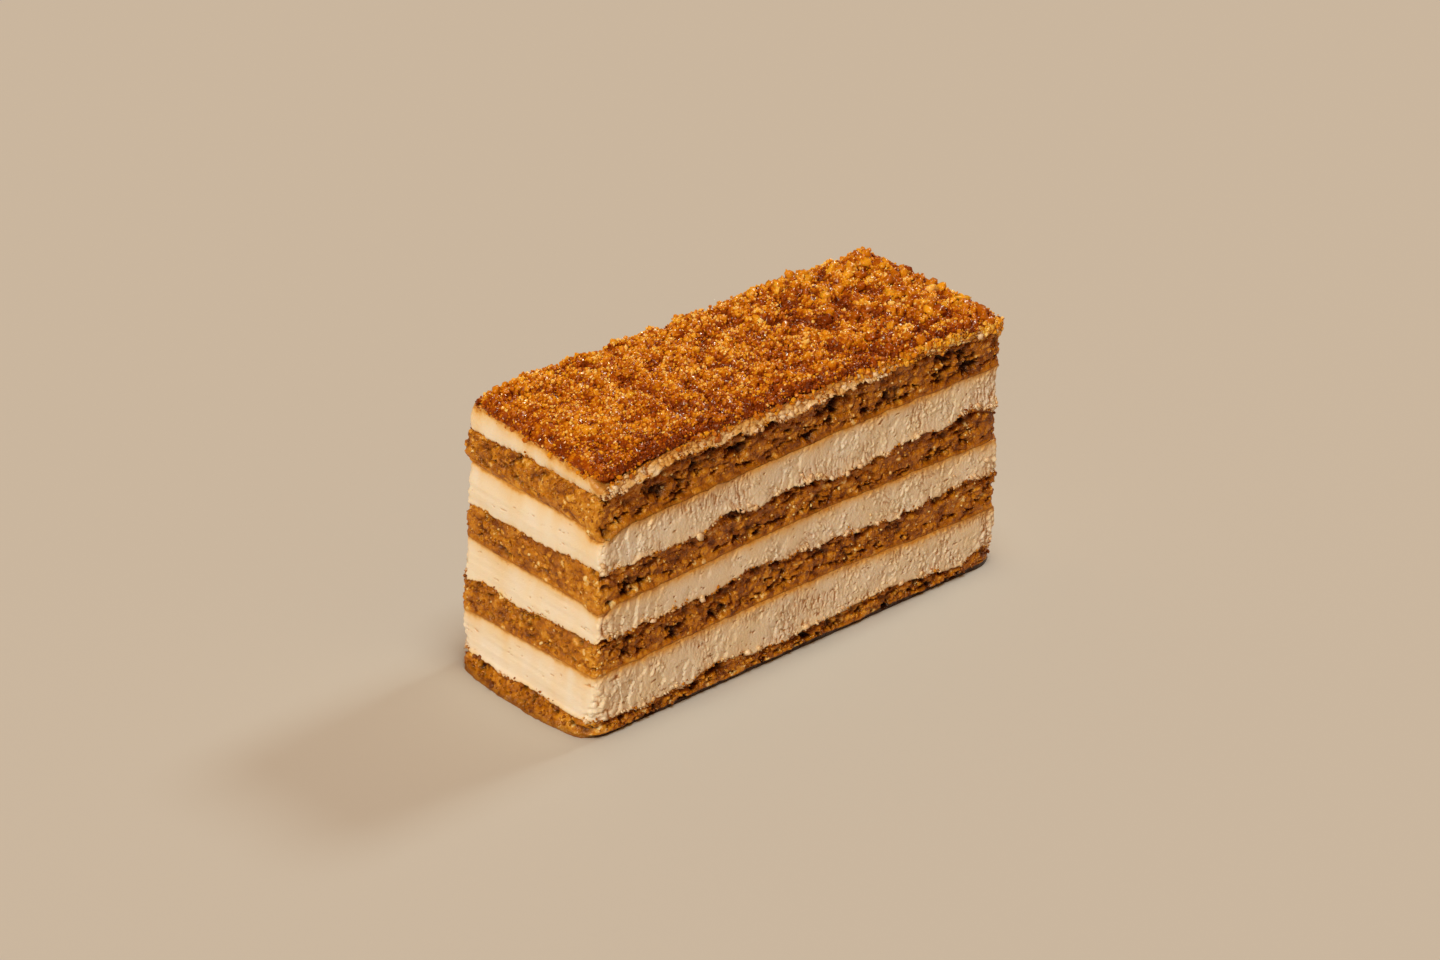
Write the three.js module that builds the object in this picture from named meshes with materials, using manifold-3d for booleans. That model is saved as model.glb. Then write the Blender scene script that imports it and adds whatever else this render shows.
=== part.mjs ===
// A slice of honey cake: four sponge sheets, three cream fillings, a thin cream coat and a crumb topping.
// Millimetres, +Z up. X runs along the slice, Y across it, and the origin is the middle of its base.
import * as THREE from "three";
import { mergeVertices } from "three/addons/utils/BufferGeometryUtils.js";
import Module from "manifold-3d";

// Driving dimensions of the slice, which has slumped a little and is longer and rounder at its base
const BASE_LENGTH = 114.5;
const TOP_LENGTH = 109.5;
const BASE_WIDTH = 41.5;
const TOP_WIDTH = 40.5;
const HEIGHT = 60;
const BASE_CORNER = 7; // radius of the upright corners at the base
const TOP_CORNER = 1.6; // and higher up, where the knife left them sharp
const CORNER_HEIGHT = 9; // where the rounder corners of the base end
const FOOT_FLARE = 2.2; // how far the lowest sheet is pressed out at each end of the slice
const FOOT_HEIGHT = 4.5;
const UNDERCUT = 1.5; // how far the lowest edge is drawn in under the slice
const LAYER_GAP = 0.2; // between neighbouring layers

// Depth of the crags that the knife tore into each kind of layer, and how far its middle stays behind the cut
const SPONGE_CRAGS = 1.3;
const SPONGE_SETBACK = 0.1;
const CREAM_CRAGS = 0.55;
const CREAM_SETBACK = 0.35;
const SEAM_CRAGS = 0.5;
const SEAM_SETBACK = 0.3;

// The crumb topping: its edges, the size of its crumbs, the swell of the whole bed, and lumps of stuck crumbs
const CRUMB_OVERHANG = 0.5; // past the coat at the two ends
const CRUMB_INSET = 0.5; // behind the coat along the two long sides
const CRUMB_EDGE_DROP = 0.7;
const CRUMB_SIZE = 1.2;
const CRUMB_STRAY = 0.45; // sideways stray of a crumb, as a share of its size
const BED_SWELL = 0.35;
const BED_WAVELENGTH = 11;
const LUMP_COUNT = 16;
const LUMP_RADIUS = 1.2;
const LUMP_SPREAD = 0.25; // share by which a lump's radius varies
const LUMP_STRETCH = [1.2, 1, 0.8];
const LUMP_RISE = 0.1; // height of a lump's middle over the bed, as a share of its radius
const LUMP_MARGIN = 3;

// Subdivision: steps along the outline's sides and corners, rows up a layer, and cells of the crumb bed
const LONG_STEPS = 46;
const SHORT_STEPS = 16;
const CORNER_STEPS = 4;
const SPONGE_ROWS = 3;
const CREAM_ROWS = 2;
const BED_CELLS_X = 72;
const BED_CELLS_Y = 26;

// Seams between the layers, from the base up: heights at even steps along the near side, the height at the
// left corner, and the unevenness that grows across the slice. A sheet's underside is even and its top is not.
const SEAMS = [
  { along: [0, 0], left: 0, uneven: 0 },
  {
    along: [3.9, 3.3, 3.8, 4.4, 5.9, 4.8, 4.1, 4.6, 4.9, 5, 5.3, 4.9, 4.5, 3.3, 4.9],
    left: 3.6,
    uneven: 0.7,
  },
  { along: [14.4, 15.3, 13.6], left: 13, uneven: 0.15 },
  {
    along: [22.2, 22.4, 22.4, 22.4, 23.1, 23.8, 23.3, 23.2, 22.8, 22.3, 21.6, 21.7, 22.4, 22.6, 21.6],
    left: 20.4,
    uneven: 0.8,
  },
  { along: [29.2, 30.9, 30.2], left: 29.2, uneven: 0.15 },
  {
    along: [37.6, 37.4, 37.4, 37.1, 39.2, 38.3, 38.9, 39.4, 37.4, 37.5, 37.9, 38.6, 38.2, 39.9, 37.8],
    left: 36.2,
    uneven: 0.8,
  },
  { along: [45.9, 47.5, 47.6], left: 46.2, uneven: 0.15 },
  { along: [54, 55.6, 55.7, 55.8, 56.5, 56.9, 57, 57], left: 53.6, uneven: 0.4 },
  { along: [56.7, 58.1, 58.5, 58.4, 58.5, 58.7, 58.7, 57.8], left: 58.7, uneven: 0.15 },
  { along: [58.6, 60, 60.4, 60.4, 60.5, 60.7, 60.5, 59.2], left: 60.6, uneven: 0.15 },
];
const COAT_TOP = 8;
const BED_TOP = 9;
const SEAM_WAVELENGTH = 20;

// Layers from the base up. Between its seams a layer may have slipped along and across the slice, at its left
// end and at its right end.
const LAYERS = [
  { name: "sponge_1", left: [0, 0], right: [0, 0] },
  { name: "cream_1", left: [0, 0], right: [0, 0] },
  { name: "sponge_2", left: [-0.2, 0.4], right: [-0.2, 0.4] },
  { name: "cream_2", left: [0, 0], right: [0, 0] },
  { name: "sponge_3", left: [-0.2, 0.5], right: [-0.2, 0.5] },
  { name: "cream_3", left: [-0.5, 0.2], right: [-0.5, 0.2] },
  { name: "sponge_4", left: [-1.2, 1.3], right: [0, 0.2] },
  { name: "cream_coat", left: [-0.6, 0.4], right: [0, 0.2] },
];

const SPONGE = new THREE.MeshStandardMaterial({ color: 0xa3621f, roughness: 0.75, metalness: 0 });
const CREAM = new THREE.MeshStandardMaterial({ color: 0xe9cfa3, roughness: 0.5, metalness: 0 });
const CRUMB = new THREE.MeshStandardMaterial({ color: 0xb5661a, roughness: 0.45, metalness: 0 });

const TAU = 2 * Math.PI;
const QUARTER = TAU / 4;
const WAVES = 5;
const WAVE_SPREAD = 2.5; // divides the sum of the waves so that it stays near -1 to 1

// Kinds of scatter, so that each use of it draws numbers of its own
const SEAM_DRAW = 1;
const ROW_DRAW = 2;
const CRUMB_DRAW = 11;
const STRAY_X_DRAW = 12;
const STRAY_Y_DRAW = 13;
const LUMP_DRAW = 14;

const fraction = (value) => value - Math.floor(value);
const lerp = THREE.MathUtils.lerp;

// A fixed scatter between 0 and 1 for three whole numbers.
function scatter(a, b, draw) {
  return fraction(Math.sin(a * 12.9898 + b * 78.233 + draw * 37.719) * 43758.5453);
}

// A smooth irregular wave over the plan: plane waves whose headings and phases step by irrational shares.
function ripple(x, y, seed, wavelength) {
  let sum = 0;
  for (let k = 0; k < WAVES; k++) {
    const heading = TAU * fraction(0.618 * k + 0.37 * seed);
    const phase = TAU * fraction(0.755 * k + 0.57 * seed);
    const distance = x * Math.cos(heading) + y * Math.sin(heading);
    sum += Math.sin((TAU * distance) / (wavelength * (0.7 + 0.2 * k)) + phase);
  }
  return sum / WAVE_SPREAD;
}

// Height of a seam over the plan: a smooth curve along the near side, a slope across the near end to the left
// corner, and unevenness that grows from nothing on the near side.
const seamCurve = ({ along }) => new THREE.SplineCurve(along.map((z, k) => new THREE.Vector2(k, z)));
const SEAM_CURVES = SEAMS.map(seamCurve);
function seamHeight(index, x, y) {
  const { along, left, uneven } = SEAMS[index];
  const share = THREE.MathUtils.clamp(x / BASE_LENGTH + 0.5, 0, 1);
  const across = y / BASE_WIDTH + 0.5;
  const slope = (left - along[0]) * across * (1 - share);
  const wave = uneven * across * ripple(x, y, index, SEAM_WAVELENGTH);
  return SEAM_CURVES[index].getPoint(share).y + slope + wave;
}

// Stations round the slice, anticlockwise from the near corner: a point of the inner rectangle as shares of its
// half sides, and the outward direction there.
function outlineStations() {
  const sides = [
    { from: [-1, -1], to: [1, -1], steps: LONG_STEPS },
    { from: [1, -1], to: [1, 1], steps: SHORT_STEPS },
    { from: [1, 1], to: [-1, 1], steps: LONG_STEPS },
    { from: [-1, 1], to: [-1, -1], steps: SHORT_STEPS },
  ];
  const stations = [];
  sides.forEach(({ from, to, steps }, side) => {
    const facing = (side - 1) * QUARTER;
    for (let step = 0; step <= steps; step++) {
      const [cx, cy] = [0, 1].map((axis) => lerp(from[axis], to[axis], step / steps));
      stations.push({ cx, cy, nx: Math.cos(facing), ny: Math.sin(facing) });
    }
    for (let step = 1; step < CORNER_STEPS; step++) {
      const angle = facing + (QUARTER * step) / CORNER_STEPS;
      stations.push({ cx: to[0], cy: to[1], nx: Math.cos(angle), ny: Math.sin(angle) });
    }
  });
  return stations;
}
const STATIONS = outlineStations();

// The point at a station of the rounded outline at height z, set back behind the cut.
function outlinePoint({ cx, cy, nx, ny }, z, setback) {
  const up = z / HEIGHT;
  const flare = FOOT_FLARE * Math.max(0, 1 - z / FOOT_HEIGHT);
  const corner = lerp(BASE_CORNER, TOP_CORNER, Math.min(1, z / CORNER_HEIGHT));
  const halfLength = lerp(BASE_LENGTH, TOP_LENGTH, up) / 2 + flare - corner;
  const halfWidth = lerp(BASE_WIDTH, TOP_WIDTH, up) / 2 - corner;
  const reach = corner - setback;
  return new THREE.Vector3(cx * halfLength + nx * reach, cy * halfWidth + ny * reach, z);
}

// The ring of points where two layers meet. Both layers use it, half a gap to either side.
function seamRing(index, lift) {
  const drawnIn = SEAM_SETBACK + (index === 0 ? UNDERCUT : 0);
  return STATIONS.map((station, k) => {
    const height = seamHeight(index, (station.cx * BASE_LENGTH) / 2, (station.cy * BASE_WIDTH) / 2);
    const point = outlinePoint(station, height, drawnIn + SEAM_CRAGS * scatter(k, index, SEAM_DRAW));
    return point.setZ(height + lift);
  });
}

// A ring of points part of the way up a layer, with the crags of that layer's stuff.
function middleRing(bottom, top, share, layer, row, setback, crags) {
  const { left, right } = LAYERS[layer];
  return STATIONS.map((station, k) => {
    const height = lerp(bottom[k].z, top[k].z, share);
    const crag = crags * scatter(k, layer, ROW_DRAW + row) ** 2;
    const [slipX, slipY] = left.map((slip, axis) => lerp(slip, right[axis], (station.cx + 1) / 2));
    return outlinePoint(station, height, setback + crag).add(new THREE.Vector3(slipX, slipY, 0));
  });
}

// Collects the points and triangles of one closed body.
class Body {
  constructor() {
    this.points = [];
    this.triangles = [];
  }
  addPoints(points) {
    const start = this.points.length;
    this.points.push(...points);
    return points.map((_, k) => start + k);
  }
  // A wall between two rings whose points match, the second above the first.
  wall(low, high) {
    low.forEach((a, k) => {
      const next = (k + 1) % low.length;
      this.triangles.push([a, low[next], high[next]], [a, high[next], high[k]]);
    });
  }
  // A wall between two rings of different counts, both from the near corner on: the one that lags behind in
  // its turn round the upright axis steps on.
  zip(low, high) {
    const turn = ({ x, y }) => fraction((Math.atan2(y / BASE_WIDTH, x / BASE_LENGTH) + 2.5 * QUARTER) / TAU);
    const turns = (ring) => [0, ...ring.slice(1).map((index) => turn(this.points[index])), 1];
    const lowTurns = turns(low);
    const highTurns = turns(high);
    let i = 0;
    let j = 0;
    while (i < low.length || j < high.length) {
      const a = low[i % low.length];
      const b = high[j % high.length];
      if (j === high.length || (i < low.length && lowTurns[i + 1] <= highTurns[j + 1])) {
        i += 1;
        this.triangles.push([a, low[i % low.length], b]);
      } else {
        j += 1;
        this.triangles.push([a, high[j % high.length], b]);
      }
    }
  }
  // A lid that fills a ring, facing up or down. The same ring is always filled alike.
  lid(ring, facingUp) {
    const plan = ring.map((index) => new THREE.Vector2(this.points[index].x, this.points[index].y));
    for (const [a, b, c] of THREE.ShapeUtils.triangulateShape(plan, [])) {
      this.triangles.push(facingUp ? [ring[a], ring[b], ring[c]] : [ring[a], ring[c], ring[b]]);
    }
  }
  geometry() {
    const geometry = new THREE.BufferGeometry().setFromPoints(this.points);
    geometry.setIndex(this.triangles.flat());
    return geometry;
  }
}

// One sponge sheet or cream filling, from the seam under it to the seam over it.
function layerGeometry(layer, rows, setback, crags) {
  const bottom = seamRing(layer, layer === 0 ? 0 : LAYER_GAP / 2);
  const top = seamRing(layer + 1, -LAYER_GAP / 2);
  const body = new Body();
  const rings = [body.addPoints(bottom)];
  for (let row = 1; row < rows; row++) {
    rings.push(body.addPoints(middleRing(bottom, top, row / rows, layer, row, setback, crags)));
  }
  rings.push(body.addPoints(top));
  for (let row = 0; row < rows; row++) body.wall(rings[row], rings[row + 1]);
  body.lid(rings[0], false);
  body.lid(rings[rows], true);
  return body.geometry();
}

const bedHeight = (x, y) => seamHeight(BED_TOP, x, y) + BED_SWELL * ripple(x, y, BED_TOP, BED_WAVELENGTH);

// One crumb of the bed's grid, as high and as far astray as its draw says. The crumbs of the edge lie lower.
function bedPoint(column, line) {
  const shareX = (2 * column) / BED_CELLS_X - 1;
  const shareY = (2 * line) / BED_CELLS_Y - 1;
  const atEnd = Math.abs(shareX) === 1;
  const atSide = Math.abs(shareY) === 1;
  const rounding = atEnd && atSide ? TOP_CORNER / 2 : 0;
  const x = shareX * (TOP_LENGTH / 2 + CRUMB_OVERHANG - rounding);
  const y = shareY * (TOP_WIDTH / 2 - CRUMB_INSET - rounding);
  const lift = CRUMB_SIZE * (scatter(column, line, CRUMB_DRAW) - 0.5);
  const height = bedHeight(x, y) + (atEnd || atSide ? lift / 2 - CRUMB_EDGE_DROP : lift);
  const strayX = CRUMB_SIZE * CRUMB_STRAY * (scatter(column, line, STRAY_X_DRAW) - 0.5);
  const strayY = CRUMB_SIZE * CRUMB_STRAY * (scatter(column, line, STRAY_Y_DRAW) - 0.5);
  return new THREE.Vector3(x + strayX, y + strayY, height);
}

// The bed of crumbs: a grid of bumps over the coat, closed by a wall round its edge and a floor on the coat.
function bedGeometry() {
  const body = new Body();
  const grid = [];
  for (let line = 0; line <= BED_CELLS_Y; line++) {
    const points = [];
    for (let column = 0; column <= BED_CELLS_X; column++) points.push(bedPoint(column, line));
    grid.push(body.addPoints(points));
  }
  for (let line = 0; line < BED_CELLS_Y; line++) {
    for (let column = 0; column < BED_CELLS_X; column++) {
      const [a, b] = [grid[line][column], grid[line][column + 1]];
      const [c, d] = [grid[line + 1][column + 1], grid[line + 1][column]];
      body.triangles.push([a, b, c], [a, c, d]);
    }
  }
  const rim = [
    ...grid[0].slice(0, -1),
    ...grid.slice(0, -1).map((points) => points[BED_CELLS_X]),
    ...grid[BED_CELLS_Y].slice(1).reverse(),
    ...grid.slice(1).reverse().map((points) => points[0]),
  ];
  const floor = body.addPoints(seamRing(COAT_TOP, LAYER_GAP / 2));
  body.zip(floor, rim);
  body.lid(floor, false);
  return body.geometry();
}

// A lump of crumbs stuck together, half sunk in the bed. Lumps are spread evenly by irrational steps.
function lumpGeometry(index) {
  const x = (fraction(0.7549 * index + 0.21) - 0.5) * (TOP_LENGTH - 2 * LUMP_MARGIN);
  const y = (fraction(0.5698 * index + 0.43) - 0.5) * (TOP_WIDTH - 2 * LUMP_MARGIN);
  const radius = LUMP_RADIUS * lerp(1 - LUMP_SPREAD, 1 + LUMP_SPREAD, scatter(index, 0, LUMP_DRAW));
  const lump = new THREE.IcosahedronGeometry(radius, 0);
  lump.rotateX(TAU * scatter(index, 1, LUMP_DRAW)).rotateZ(TAU * scatter(index, 2, LUMP_DRAW));
  return lump.scale(...LUMP_STRETCH).translate(x, y, bedHeight(x, y) + LUMP_RISE * radius);
}

const wasm = await Module();
wasm.setup();

// A closed geometry as a solid that can be joined to others.
function solidOf(geometry) {
  const bare = geometry.clone();
  bare.deleteAttribute("normal");
  bare.deleteAttribute("uv");
  const merged = mergeVertices(bare);
  const vertProperties = merged.getAttribute("position").array;
  const triVerts = new Uint32Array(merged.index.array);
  return new wasm.Manifold(new wasm.Mesh({ numProp: 3, vertProperties, triVerts }));
}

// A joined solid as a geometry again.
function geometryOf(solid) {
  const mesh = solid.getMesh();
  const geometry = new THREE.BufferGeometry();
  geometry.setAttribute("position", new THREE.BufferAttribute(mesh.vertProperties, mesh.numProp));
  geometry.setIndex(new THREE.BufferAttribute(mesh.triVerts, 1));
  return geometry;
}

// The crumb topping: the bed with its lumps joined on.
function crumbGeometry() {
  let crumbs = solidOf(bedGeometry());
  for (let index = 0; index < LUMP_COUNT; index++) crumbs = crumbs.add(solidOf(lumpGeometry(index)));
  return geometryOf(crumbs);
}

function namedMesh(name, geometry, material) {
  geometry.computeVertexNormals();
  const mesh = new THREE.Mesh(geometry, material);
  mesh.name = name;
  return mesh;
}

const cake = new THREE.Group();
LAYERS.forEach(({ name }, layer) => {
  const isSponge = name.startsWith("sponge");
  const geometry = isSponge
    ? layerGeometry(layer, SPONGE_ROWS, SPONGE_SETBACK, SPONGE_CRAGS)
    : layerGeometry(layer, CREAM_ROWS, CREAM_SETBACK, CREAM_CRAGS);
  cake.add(namedMesh(name, geometry, isSponge ? SPONGE : CREAM));
});
cake.add(namedMesh("crumb_topping", crumbGeometry(), CRUMB));

export default cake;
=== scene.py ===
# A slice of honey cake: four sponge sheets, three cream fillings, a cream coat and a topping of baked crumbs.
import itertools
import math

import bmesh
import bpy
import numpy as np
from mathutils import Matrix


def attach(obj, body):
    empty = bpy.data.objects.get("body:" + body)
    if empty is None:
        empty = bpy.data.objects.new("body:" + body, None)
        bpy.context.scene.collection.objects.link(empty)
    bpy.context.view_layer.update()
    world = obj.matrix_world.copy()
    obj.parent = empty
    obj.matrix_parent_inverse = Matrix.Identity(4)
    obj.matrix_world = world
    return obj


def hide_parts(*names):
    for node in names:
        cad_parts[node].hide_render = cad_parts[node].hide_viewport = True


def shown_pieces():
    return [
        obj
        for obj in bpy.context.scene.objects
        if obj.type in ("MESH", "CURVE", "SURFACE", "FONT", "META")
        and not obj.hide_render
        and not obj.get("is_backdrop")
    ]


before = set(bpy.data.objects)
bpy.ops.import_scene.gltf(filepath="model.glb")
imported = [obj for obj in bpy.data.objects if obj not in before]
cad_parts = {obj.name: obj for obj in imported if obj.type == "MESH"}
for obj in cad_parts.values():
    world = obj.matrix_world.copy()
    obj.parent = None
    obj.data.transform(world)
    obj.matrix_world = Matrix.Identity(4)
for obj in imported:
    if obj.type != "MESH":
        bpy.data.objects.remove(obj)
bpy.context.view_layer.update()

# Sponge sheets
# Four thin sheets of honey sponge, each with a smooth baked skin below and an open crumb above. The knife
# tore the two long sides into lumps and gaps and pressed the ends closer. Only the cream between the sheets
# holds them together.

MM = 0.001  # sizes below are in millimetres, and a mesh is made in metres
BASE_LENGTH = 114.5
TOP_LENGTH = 109.5
BASE_WIDTH = 41.5
TOP_WIDTH = 40.5
HEIGHT = 60.0
BASE_CORNER = 7.0
TOP_CORNER = 1.6
CORNER_HEIGHT = 9.0  # where the rounder corners of the base end
FOOT_FLARE = 2.2  # how far the lowest sheet is pressed out at the two ends
FOOT_HEIGHT = 4.5

# Seams from the base up: heights at even steps along the near side, the height at the left corner, the
# unevenness that grows across the slice, how ragged the crumb is torn there, and how far the knife dragged it
# down at the ends
SEAMS = [
    ([0, 0], 0, 0, 0, 0),
    ([3.9, 3.3, 3.8, 4.4, 5.9, 4.8, 4.1, 4.6, 4.9, 5, 5.3, 4.9, 4.5, 3.3, 4.9], 3.6, 0.7, 0.9, 0.2),
    ([14.4, 15.3, 13.6], 13, 0.15, 0.35, 0.4),
    (
        [22.2, 22.4, 22.4, 22.4, 23.1, 23.8, 23.3, 23.2, 22.8, 22.3, 21.6, 21.7, 22.4, 22.6, 21.6],
        20.4, 0.8, 1.2, 0.6,
    ),
    ([29.2, 30.9, 30.2], 29.2, 0.15, 0.35, 0.4),
    (
        [37.6, 37.4, 37.4, 37.1, 39.2, 38.3, 38.9, 39.4, 37.4, 37.5, 37.9, 38.6, 38.2, 39.9, 37.8],
        36.2, 0.8, 1.2, 0,
    ),
    ([45.9, 47.5, 47.6], 46.2, 0.15, 0.35, 0.4),
    ([54, 55.6, 55.7, 55.8, 56.5, 56.9, 57, 57], 53.6, 0.4, 1.7, 0.6),
    ([56.7, 58.1, 58.5, 58.4, 58.5, 58.7, 58.7, 57.8], 58.7, 0.15, 0.25, 0),
    ([58.6, 60, 60.4, 60.4, 60.5, 60.7, 60.5, 59.2], 60.6, 0.15, 0, 0),
]
SEAM_WAVELENGTH = 20.0
DRIPS = [
    # seam, place along and across the slice, spread, how far the syrup and crumbs hang down there
    (4, -57.2, -19.6, 2.0, 0.9),
    (6, -57.2, -19.6, 2.4, 1.6),
    (8, -57.2, -20.0, 2.0, 1.2),
]
LONG_STEPS = 520
SHORT_STEPS = 190
CORNER_STEPS = 12
AXIS_ODDS = (0x9E3779B97F4A7C15, 0xC2B2AE3D27D4EB4F, 0x165667B19E3779F9)
SEED_ODD = 0x27D4EB2F165667C5
MIX_STEPS = ((29, 0xBF58476D1CE4E5B9), (32, 0x94D049BB133111EB))  # a shift, and a factor after it


def lattice_draw(cell, seed):
    """A fixed draw from 0 to 1 for each lattice cell: its whole numbers times odd ones, mixed by shifts."""
    whole = cell.astype(np.int64).view(np.uint64)
    mixed = np.uint64(0)
    for axis, odd in enumerate(AXIS_ODDS):
        mixed = mixed ^ (whole[..., axis] * np.uint64(odd))
    mixed = mixed + np.uint64(seed * SEED_ODD % 2**64)
    for shift, odd in MIX_STEPS:
        mixed = (mixed ^ (mixed >> np.uint64(shift))) * np.uint64(odd)
    return (mixed >> np.uint64(40)).astype(float) / 2**24


def ramp(low, high, value):
    """A smooth step from 0 at low to 1 at high: 3t^2 - 2t^3."""
    share = np.clip((value - low) / (high - low), 0, 1)
    return share * share * (3 - 2 * share)


def bell(distance, reach):
    """A bell that is 1 at no distance and falls by the exponent of the squared share of the reach."""
    return np.exp(-((distance / reach) ** 2))


def soft_noise(points, size, seed):
    """Soft blotches of a size, from 0 to 1: draws at the lattice corners, blended over a cell by the ramp."""
    spot = points / np.asarray(size, float)
    cell = np.floor(spot)
    share = ramp(0, 1, spot - cell)
    total = np.zeros(spot.shape[:-1])
    for corner in itertools.product((0, 1), repeat=3):
        weight = np.prod(np.where(corner, share, 1 - share), axis=-1)
        total += weight * lattice_draw(cell + corner, seed)
    return total


def rough_noise(points, size, seed):
    """Ragged blotches of a size, from 0 to 1: soft noise of it, its half and its quarter, mixed 5 : 3 : 2."""
    parts = [soft_noise(points, np.array(size) / step, seed + step) for step in (1, 2, 4)]
    return 0.5 * parts[0] + 0.3 * parts[1] + 0.2 * parts[2]


def grain_noise(points, size, seed):
    """Grains of a size, one strewn in each lattice cell: the distance to the nearest one's middle, the way
    from it, both in grain sizes, and a draw of that grain's own."""
    spot = points / np.asarray(size, float)
    cell = np.floor(spot)
    nearest = np.full(spot.shape[:-1], 9.0)
    way = np.zeros(spot.shape)
    own = np.zeros(spot.shape[:-1])
    for step in itertools.product((-1, 0, 1), repeat=3):
        near = cell + step
        strewn = np.stack([lattice_draw(near, seed + axis) for axis in range(3)], axis=-1)
        offset = spot - near - strewn
        gap = np.linalg.norm(offset, axis=-1)
        closer = gap < nearest
        own = np.where(closer, lattice_draw(near, seed + 3), own)
        way = np.where(closer[..., None], offset, way)
        nearest = np.where(closer, gap, nearest)
    return nearest, way, own


def stray(points, size, seed):
    """A soft shift of points, from -0.5 to 0.5 along each axis, that bends what is laid over them."""
    return np.stack([soft_noise(points, size, seed + axis) - 0.5 for axis in range(3)], axis=-1)


def ripple(x, y, seed, wavelength):
    """A smooth irregular wave over the plan: five plane waves, headings and phases in irrational steps."""
    total = 0
    for k in range(5):
        heading = 2 * math.pi * ((0.618 * k + 0.37 * seed) % 1)
        phase = 2 * math.pi * ((0.755 * k + 0.57 * seed) % 1)
        distance = x * math.cos(heading) + y * math.sin(heading)
        total = total + np.sin(2 * math.pi * distance / (wavelength * (0.7 + 0.2 * k)) + phase)
    return total / 2.5


def smooth_curve(values, share):
    """A curve through values at even steps: on each span a cubic whose end slopes are half its neighbours'
    difference."""
    padded = np.array([values[0], *values, values[-1]], float)
    spot = np.clip(share, 0, 1) * (len(values) - 1)
    span = np.minimum(spot.astype(int), len(values) - 2)
    t = spot - span
    before, start, end, after = (padded[span + k] for k in range(4))
    slope_in = (end - before) / 2
    slope_out = (after - start) / 2
    cubic = 2 * start - 2 * end + slope_in + slope_out
    square = 3 * end - 3 * start - 2 * slope_in - slope_out
    return cubic * t**3 + square * t**2 + slope_in * t + start


def seam_height(index, x, y):
    """A seam over the plan: the curve along the near side, a slope across the near end to the left corner,
    and ripples that grow from nothing on the near side."""
    along, left, uneven = SEAMS[index][:3]
    share = np.clip(x / BASE_LENGTH + 0.5, 0, 1)
    across = y / BASE_WIDTH + 0.5
    slope = (left - along[0]) * across * (1 - share)
    return smooth_curve(along, share) + slope + uneven * across * ripple(x, y, index, SEAM_WAVELENGTH)


def seam_drip(index, x, y):
    """How far a seam hangs down: a bell for each of its drips, by the squared distance from the drip."""
    total = 0 * x
    for seam, drip_x, drip_y, spread, drop in DRIPS:
        if seam == index:
            total = total + drop * np.exp(-((x - drip_x) ** 2 + (y - drip_y) ** 2) / spread**2)
    return total


def outline_stations():
    """Round the slice anticlockwise from its near left corner: shares of the inner rectangle's half sides,
    and the outward direction. A side runs straight, and a corner makes a quarter turn on the spot."""
    corners = np.array([[-1, -1], [1, -1], [1, 1], [-1, 1]], float)
    shares = []
    headings = []
    for side, steps in enumerate([LONG_STEPS, SHORT_STEPS] * 2):
        start = corners[side]
        end = corners[(side + 1) % 4]
        along = np.linspace(0, 1, steps + 1)[:, None]
        turn = np.arange(1, CORNER_STEPS) / CORNER_STEPS
        shares += [start + (end - start) * along, np.repeat(end[None], len(turn), axis=0)]
        headings += [np.full(steps + 1, side - 1.0), side - 1 + turn]
    heading = np.concatenate(headings) * math.pi / 2
    return np.concatenate(shares), np.stack([np.cos(heading), np.sin(heading)], axis=-1)


SHARES, OUTWARD = outline_stations()
ON_CORNER = 1 - ramp(0.9, 0.999, np.abs(OUTWARD).max(axis=1))
ON_SIDE = ramp(0.55, 0.95, np.abs(OUTWARD[:, 1]))  # 1 along the torn long sides, 0 round the ends
ON_END = 1 - ON_SIDE


def outline_points(height):
    """Points on the slice's outline at given heights: the inner rectangle's side, pushed out by the corner's
    radius. Lengths run evenly from base to top, and the foot flares at the two ends and has round corners."""
    up = height / HEIGHT
    flare = FOOT_FLARE * np.maximum(0, 1 - height / FOOT_HEIGHT)
    corner = TOP_CORNER + (BASE_CORNER - TOP_CORNER) * np.maximum(0, 1 - height / CORNER_HEIGHT)
    half_length = (BASE_LENGTH + (TOP_LENGTH - BASE_LENGTH) * up) / 2 + flare - corner
    half_width = (BASE_WIDTH + (TOP_WIDTH - BASE_WIDTH) * up) / 2 - corner
    x = SHARES[:, 0] * half_length + OUTWARD[:, 0] * corner
    y = SHARES[:, 1] * half_width + OUTWARD[:, 1] * corner
    return np.stack([x, y, height], axis=-1)


TEAR_SIZES = (2.8, 1.3, 0.5)  # of the lumps, crumbs and grains along a torn seam


def seam_ring(index):
    """A seam's height all round the cut: dragged down at the ends, hanging in drips, and torn up and down by
    lumps, crumbs and grains, less and finer at the ends and more in the drips."""
    x = SHARES[:, 0] * BASE_LENGTH / 2
    y = SHARES[:, 1] * BASE_WIDTH / 2
    ragged, end_drop = SEAMS[index][3:]
    drip = seam_drip(index, x, y)
    height = seam_height(index, x, y) - drip - end_drop * ON_END
    place = outline_points(height) * [1, 1, 0] + [0, 0, 31.7 * index]
    lumps = soft_noise(place, TEAR_SIZES[0], 11) - 0.5
    crumbs = grain_noise(place, TEAR_SIZES[1], 13)[2] - 0.5
    grains = soft_noise(place, TEAR_SIZES[2], 12) - 0.5
    at_side = 1.4 * lumps + 0.4 * crumbs + 0.25 * grains
    at_end = 0.5 * lumps + 0.5 * crumbs + 0.45 * grains
    tear = at_end + (at_side - at_end) * ON_SIDE
    return height + tear * (ragged * (0.6 + 0.4 * ON_SIDE) + 0.7 * drip)


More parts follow.
